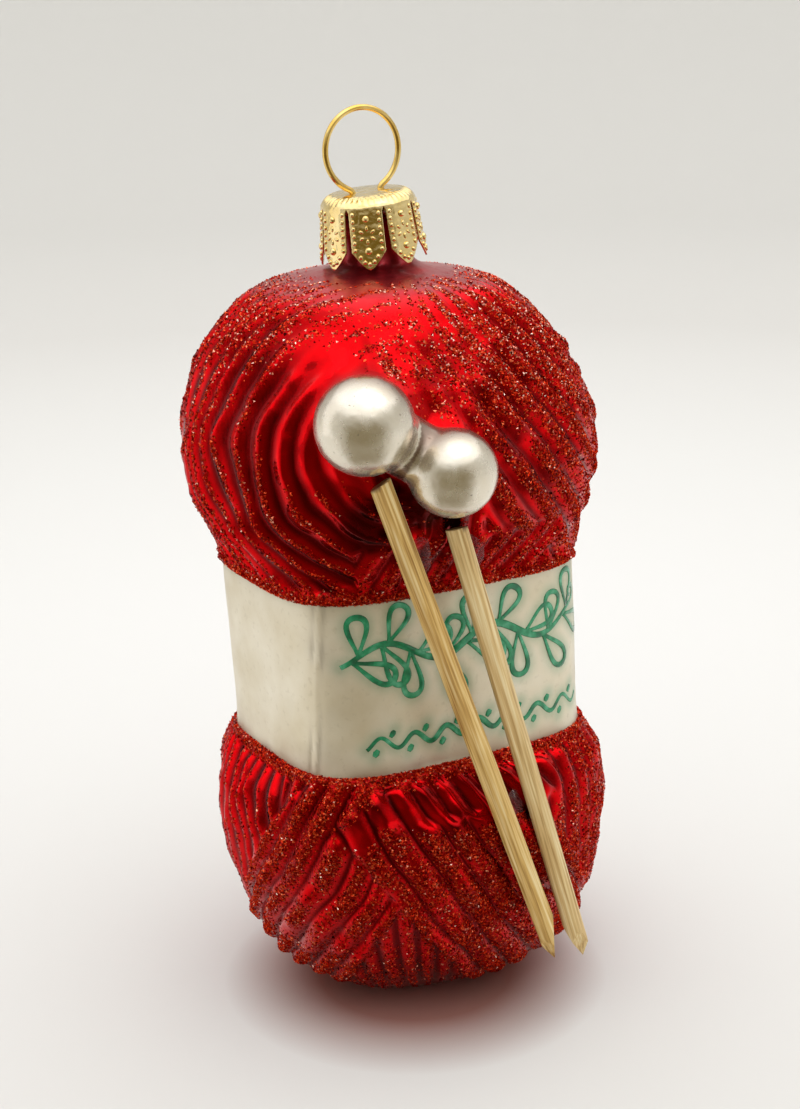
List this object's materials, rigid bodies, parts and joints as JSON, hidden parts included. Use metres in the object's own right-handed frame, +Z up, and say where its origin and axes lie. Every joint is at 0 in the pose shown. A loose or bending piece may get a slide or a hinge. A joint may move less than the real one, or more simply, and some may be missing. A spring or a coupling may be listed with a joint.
{
  "type": "yarn ball glass ornament",
  "caption": "Hanging ornament of blown, silvered glass shaped as a skein of yarn with a band, glued knitting sticks, and a metal cap with a loop.",
  "frame": {"origin": "middle of the flat spot under the glass", "axes": "+Z up through the cap, -Y towards the front with the knobs and sticks, +X to the right seen from the front"},
  "size_m": [0.0552, 0.0525, 0.1155],
  "materials": {
    "red_glass": "silvered glass, red lacquer, glitter",
    "cap_brass": "bright stamped",
    "wire_brass": "bright drawn",
    "bamboo": "raw",
    "cream_lacquer": "satin pearl lacquer on silvered glass",
    "pearl_lacquer": "satin pearl lacquer on silvered glass",
    "green_paint": "hand-painted",
    "clear_glue": "clear, glossy"
  },
  "bodies": {
    "root": {"glass_body": "red_glass", "crown_cap": "cap_brass", "cap_ring": "wire_brass", "needle_left": "bamboo", "needle_right": "bamboo"}
  },
  "joints": []
}
